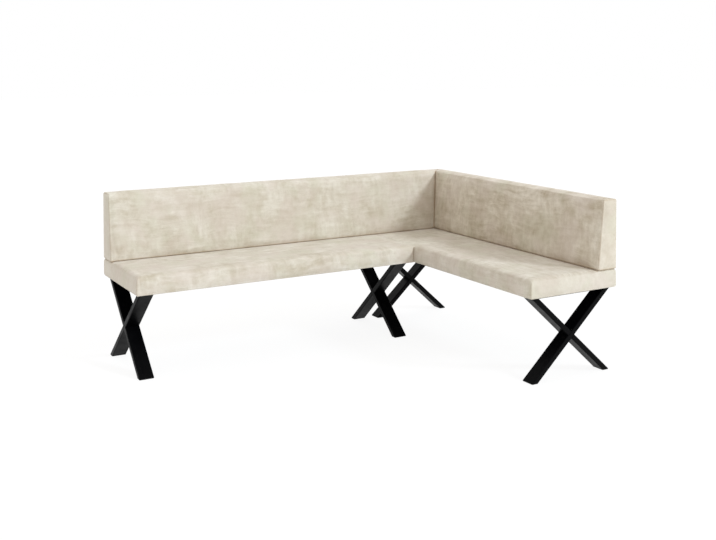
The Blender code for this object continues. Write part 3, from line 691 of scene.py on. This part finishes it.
def long_seat_outline(inset):
    return [
        (LEFT_END + inset, LONG_FRONT + inset),
        (SEAM_X + OVERRUN, LONG_FRONT + inset),
        (SEAM_X + OVERRUN, REAR_WALL),
        (LEFT_END, REAR_WALL),
    ]


def wing_seat_outline(inset):
    """Plan of the wing's seat, with a tab past the seam that is cut off once the cover is done."""
    side = SEAM_X + inset + SIDE_SLACK
    return [
        (side, FRONT_END + inset),
        (RIGHT_WALL - inset, FRONT_END + inset),
        (RIGHT_WALL, REAR_WALL),
        (SEAM_X - OVERRUN, REAR_WALL),
        (SEAM_X - OVERRUN, LONG_FRONT + inset),
        (side, LONG_FRONT + inset),
    ]


def upholstery():
    bare_y = REAR_WALL - BACK_FOOT_DEPTH
    bare_x = RIGHT_WALL - BACK_FOOT_DEPTH
    inner_seam = (SEAM_X, LONG_FRONT, INNER_SEAM_DEPTH)

    def long_corner(middle):
        return SEAT_CORNER_ROUND if middle.y < bare_y else REAR_CORNER_ROUND

    def wing_corner(middle):
        if middle.y < 0:
            return SEAT_CORNER_ROUND
        return INNER_CORNER_ROUND if middle.y < bare_y else REAR_CORNER_ROUND

    seat(
        "long_seat",
        long_seat_outline,
        (LEFT_END, LONG_FRONT),
        (SEAM_X, bare_y),
        long_corner,
        [(LEFT_END, LONG_FRONT, FRONT_SEAM_DEPTH), inner_seam],
        1,
        "velvet",
        ("long_seat_cover", "long_seat_foam"),
        seed=11,
    )
    seat(
        "wing_seat",
        wing_seat_outline,
        (SEAM_X, FRONT_END),
        (bare_x, bare_y),
        wing_corner,
        [(SEAM_X, FRONT_END, FRONT_SEAM_DEPTH), (RIGHT_WALL, FRONT_END, FRONT_SEAM_DEPTH), inner_seam],
        -1,
        "velvet_wing_seat",
        ("wing_seat_cover", "wing_seat_foam"),
        seed=12,
    )
    nodes = ("long_back_cover", "long_back_foam")
    back("long_back", long_back_outline, LEFT_END, 1, "velvet", nodes, seed=13)
    nodes = ("wing_back_cover", "wing_back_foam")
    # The wing back takes the velvet copy that carries painted shade
    back("wing_back", wing_back_outline, WING_BACK_END, 0, "velvet_wing_back_painted_shade", nodes, seed=14)


def dust_sheet(side):
    """The cloth stapled under a seat. It sags a little between its edges."""
    low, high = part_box(side + "_seat_dust_cover")
    width, length = high.x - low.x, high.y - low.y
    columns, rows = round(width / SHEET_CELL), round(length / SHEET_CELL)
    bm = bmesh.new()
    bmesh.ops.create_grid(bm, x_segments=columns, y_segments=rows, size=0.5)
    for vert in bm.verts:
        u, v = vert.co.x, vert.co.y
        sag = SHEET_SAG * (1 - (2 * u) ** 2) * (1 - (2 * v) ** 2)
        x, y = (low.x + high.x) / 2 + u * width, (low.y + high.y) / 2 + v * length
        vert.co = (x, y, high.z - SHEET_GAP - sag)
    mesh = bpy.data.meshes.new(side + "_dust_sheet")
    bm.to_mesh(mesh)
    bm.free()
    mesh.shade_smooth()
    obj = bpy.data.objects.new(side + "_dust_sheet", mesh)
    bpy.context.scene.collection.objects.link(obj)
    thick = obj.modifiers.new("thickness", "SOLIDIFY")
    thick.thickness = SHEET_THICKNESS
    apply_modifiers(obj)
    obj.data.materials.append(MATERIALS["dust_cloth"])
    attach(obj, "root")
    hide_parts(side + "_seat_dust_cover")


def finish_nodes():
    """Gives each node that keeps its shape the finish of its material slot."""
    slots = {row["node"]: row["material_slot"] for row in frame["record"]["subparts"]}
    for name, obj in NODES.items():
        obj.data.materials.clear()
        obj.data.materials.append(MATERIALS[slots[name]])


# Studio


def studio():
    floor_mesh = bpy.data.meshes.new("floor")
    bm = bmesh.new()
    bmesh.ops.create_grid(bm, x_segments=1, y_segments=1, size=FLOOR_SIZE / 2)
    bm.to_mesh(floor_mesh)
    bm.free()
    floor = bpy.data.objects.new("floor", floor_mesh)
    bpy.context.scene.collection.objects.link(floor)
    floor.location.z = -FLOOR_DROP
    material = bpy.data.materials.new("floor")
    material.use_nodes = True
    tree = material.node_tree
    tree.nodes.clear()
    card = add(tree, "ShaderNodeBsdfDiffuse", {"Color": (0.9, 0.9, 0.9, 1.0)})
    glow = add(tree, "ShaderNodeEmission", {"Color": (1, 1, 1, 1), "Strength": FLOOR_GLOW})
    shade = add(tree, "ShaderNodeBsdfDiffuse", {"Color": (FLOOR_SHADE, FLOOR_SHADE, FLOOR_SHADE, 1.0)})
    white = add(tree, "ShaderNodeAddShader", {0: glow.outputs[0], 1: shade.outputs[0]})
    mixed = add(tree, "ShaderNodeMixShader", {0: seen_rays(tree), 1: card.outputs[0], 2: white.outputs[0]})
    add(tree, "ShaderNodeOutputMaterial", {"Surface": mixed.outputs[0]})
    floor_mesh.materials.append(material)

    world = bpy.data.worlds.new("studio")
    bpy.context.scene.world = world
    world.use_nodes = True
    tree = world.node_tree
    tree.nodes.clear()
    heading = add(tree, "ShaderNodeTexCoord").outputs["Generated"]
    rearward = add(tree, "ShaderNodeVectorMath", {0: heading, 1: REAR_DIRECTION}, operation="DOT_PRODUCT")
    least, most = AMBIENT * (1 - REAR_GLOW), AMBIENT * (1 + REAR_GLOW)
    light = remap(tree, rearward.outputs["Value"], -1.0, 1.0, least, most)
    seen = add(tree, "ShaderNodeMix", {"Factor": seen_rays(tree), 2: light, 3: 1.0})
    tint = blend_colours(tree, seen_rays(tree), AMBIENT_COLOUR, (1.0, 1.0, 1.0))
    sky = add(tree, "ShaderNodeBackground", {"Color": tint, "Strength": seen.outputs[0]})
    add(tree, "ShaderNodeOutputWorld", {"Surface": sky.outputs[0]})

    key = bpy.data.lights.new("key", "SUN")
    key.energy = KEY_STRENGTH
    key.angle = KEY_ANGLE
    key.color = KEY_COLOUR
    lamp = bpy.data.objects.new("key", key)
    bpy.context.scene.collection.objects.link(lamp)
    lamp.location = KEY_DIRECTION
    lamp.rotation_euler = KEY_DIRECTION.to_track_quat("Z", "Y").to_euler()


def seen_rays(tree):
    """1 for rays from the camera, and for mirror and glass rays, which show the background too."""
    path = add(tree, "ShaderNodeLightPath").outputs
    glossy = arithmetic(tree, "MAXIMUM", path["Is Camera Ray"], path["Is Glossy Ray"])
    return arithmetic(tree, "MAXIMUM", glossy, path["Is Transmission Ray"])


def camera():
    data = bpy.data.cameras.new("camera")
    data.sensor_width = SENSOR
    data.lens = LENS
    data.shift_y = SHIFT_Y
    data.clip_start = 0.05
    data.clip_end = 60
    obj = bpy.data.objects.new("camera", data)
    bpy.context.scene.collection.objects.link(obj)
    obj.location = CAMERA_PLACE
    obj.rotation_euler = (math.pi / 2 - CAMERA_PITCH, CAMERA_ROLL, -CAMERA_YAW)
    bpy.context.scene.camera = obj


MATERIALS = {
    "velvet": velvet_material("velvet", 0, linear(190, 179, 158), linear(234, 229, 218)),
    "velvet_wing_seat": velvet_material("velvet_wing_seat", 1, linear(187, 176, 155), linear(237, 232, 221)),
    # The wing back's copy runs its streaks along Y; its darker, warmer colour against the nap and stronger
    # contrast are painted shade for the shaded wing back
    "velvet_wing_back_painted_shade": velvet_material("velvet_wing_back_painted_shade", 1, linear(181, 167, 143), linear(239, 232, 219)),
    "foam": foam_material(),
    "plywood": timber_material("plywood", linear(200, 168, 122), linear(176, 138, 92), (3, 60, 60)),
    "softwood": timber_material("softwood", linear(214, 184, 134), linear(186, 148, 98), (3, 80, 80)),
    "dust_cloth": dust_cloth_material(),
    "black_steel": black_steel_material(),
    "black_plastic": plastic_material(),
    "zinc_steel": zinc_material(),
}

bpy.context.scene.view_settings.view_transform = "Standard"
finish_nodes()
upholstery()
for side in ("long", "wing"):
    dust_sheet(side)
studio()
camera()
